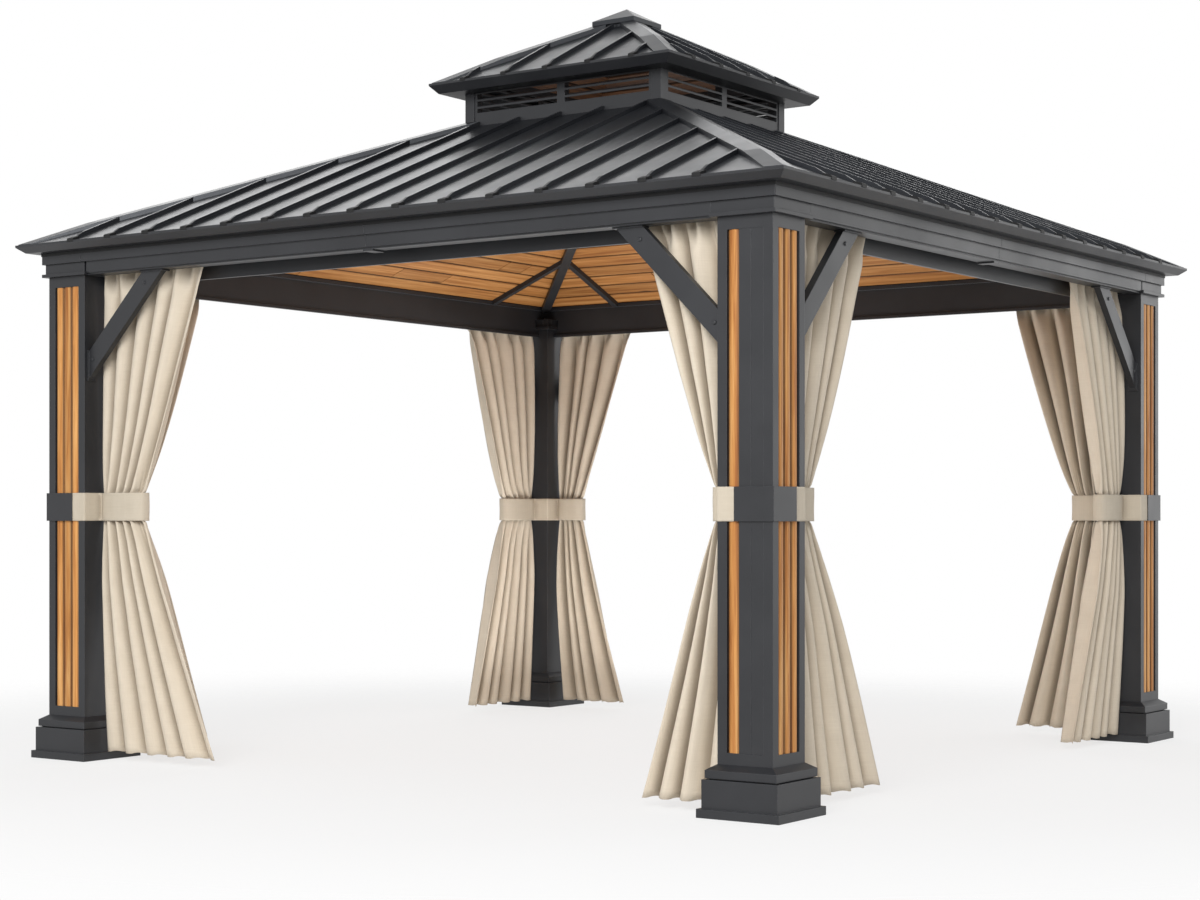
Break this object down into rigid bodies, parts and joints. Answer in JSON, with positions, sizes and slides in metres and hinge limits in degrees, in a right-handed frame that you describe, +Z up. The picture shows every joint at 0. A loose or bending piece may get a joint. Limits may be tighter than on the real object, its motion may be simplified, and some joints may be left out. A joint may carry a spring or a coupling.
{
  "type": "metal gazebo",
  "caption": "Square open metal gazebo with a two-tier hipped standing-seam roof, louvred cupola, clad posts, boarded ceiling and tied curtains.",
  "frame": {"origin": "on the ground at the middle of the square plan", "axes": "+Z up, -Y the front side, +X to the right along the front"},
  "size_m": [3.66, 3.66, 3.2035],
  "materials": {
    "charcoal_metal": "satin powder coat",
    "roof_sheet": "satin coated sheet",
    "timber_slats": "satin stained",
    "ceiling_boards": "satin stained boards",
    "curtain_cloth": "plain weave",
    "tie_cloth": "plain weave"
  },
  "bodies": {
    "root": {"post_front_right": "charcoal_metal", "post_back_right": "charcoal_metal", "post_back_left": "charcoal_metal", "post_front_left": "charcoal_metal", "base_front_right": "charcoal_metal", "base_back_right": "charcoal_metal", "base_back_left": "charcoal_metal", "base_front_left": "charcoal_metal", "post_slats": "timber_slats", "post_infill": "charcoal_metal", "post_capitals": "charcoal_metal", "knee_braces": "charcoal_metal", "beam_front": "charcoal_metal", "beam_right": "charcoal_metal", "beam_back": "charcoal_metal", "beam_left": "charcoal_metal", "eave_trim": "charcoal_metal", "roof_front": "roof_sheet", "roof_right": "roof_sheet", "roof_back": "roof_sheet", "roof_left": "roof_sheet", "hip_caps": "roof_sheet", "ceiling_front": "ceiling_boards", "ceiling_right": "ceiling_boards", "ceiling_back": "ceiling_boards", "ceiling_left": "ceiling_boards", "hip_rafters": "charcoal_metal", "jack_rafters": "charcoal_metal", "cupola_posts": "charcoal_metal", "louvre_front": "charcoal_metal", "louvre_right": "charcoal_metal", "louvre_back": "charcoal_metal", "louvre_left": "charcoal_metal", "upper_roof": "roof_sheet", "upper_hip_caps": "roof_sheet", "upper_eave_trim": "charcoal_metal", "upper_ceiling": "ceiling_boards", "finial_cap": "charcoal_metal", "curtain_rails": "charcoal_metal", "curtains_front_right": "curtain_cloth", "curtains_back_right": "curtain_cloth", "curtains_back_left": "curtain_cloth", "curtains_front_left": "curtain_cloth", "curtain_ties": "tie_cloth", "tie_plates": "charcoal_metal"}
  },
  "joints": []
}
